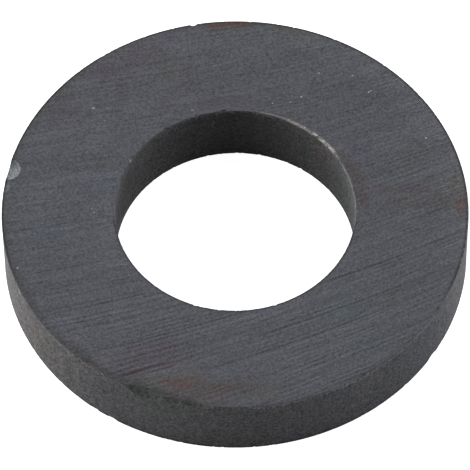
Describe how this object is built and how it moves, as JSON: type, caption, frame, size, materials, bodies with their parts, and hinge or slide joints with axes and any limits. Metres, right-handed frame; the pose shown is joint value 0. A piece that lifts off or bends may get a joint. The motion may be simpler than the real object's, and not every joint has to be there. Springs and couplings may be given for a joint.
{
  "type": "ferrite ring magnet",
  "caption": "Flat ring of dark grey sintered ferrite with a plain bore, ground faces and small chips along its edges.",
  "frame": {"origin": "centre of the bore at the bottom face", "axes": "+Z along the bore's axis, out of the top face; -Y is the front, towards the picture's camera"},
  "size_m": [0.062, 0.062, 0.01],
  "materials": {
    "ferrite": "satin"
  },
  "bodies": {
    "root": {"ring_magnet": "ferrite"}
  },
  "joints": []
}
